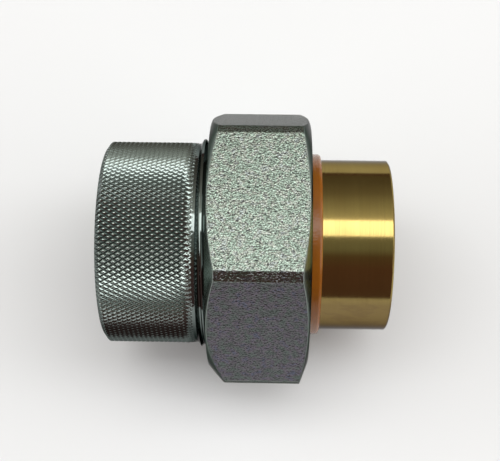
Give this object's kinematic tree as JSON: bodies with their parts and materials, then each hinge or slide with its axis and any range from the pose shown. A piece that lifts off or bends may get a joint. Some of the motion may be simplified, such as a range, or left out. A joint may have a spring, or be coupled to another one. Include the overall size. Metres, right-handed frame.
{
  "type": "dielectric union",
  "caption": "Pipe union that joins threaded steel pipe to soldered copper tube through a hexagon nut, with an insulating gasket and sleeve between the metals.",
  "frame": {"origin": "on the pipe's axis at half the overall length", "axes": "+X along the pipe's axis from the steel half to the brass tailpiece, +Z square to the nut's top flat, with the bottom flat resting on the surface"},
  "size_m": [0.044, 0.045, 0.0398],
  "materials": {
    "zinc_plated_steel": "zinc plated, knurled and turned",
    "zinc_plated_nut": "zinc plated over a rough forged skin",
    "turned_brass": "turned",
    "orange_nylon": "moulded, slightly glossy",
    "black_rubber": "matt"
  },
  "bodies": {
    "steel_half": {"steel_body": "zinc_plated_steel"},
    "tail_group": {"brass_tailpiece": "turned_brass", "insulating_sleeve": "orange_nylon", "gasket": "black_rubber"},
    "nut": {"union_nut": "zinc_plated_nut"}
  },
  "joints": [
    {"name": "nut_turn", "type": "hinge", "parent": "tail_group", "child": "nut", "pos_m": [0, 0, 0], "axis": [1, 0, 0], "range_deg": [0, 1800]},
    {"name": "tail_draw", "type": "slide", "parent": "steel_half", "child": "tail_group", "axis": [1, 0, 0], "range_m": [0, 0.0075]}
  ],
  "couplings": [
    {"joint": "nut_turn", "follows": "tail_draw", "rad_per_m": 4188.8}
  ]
}
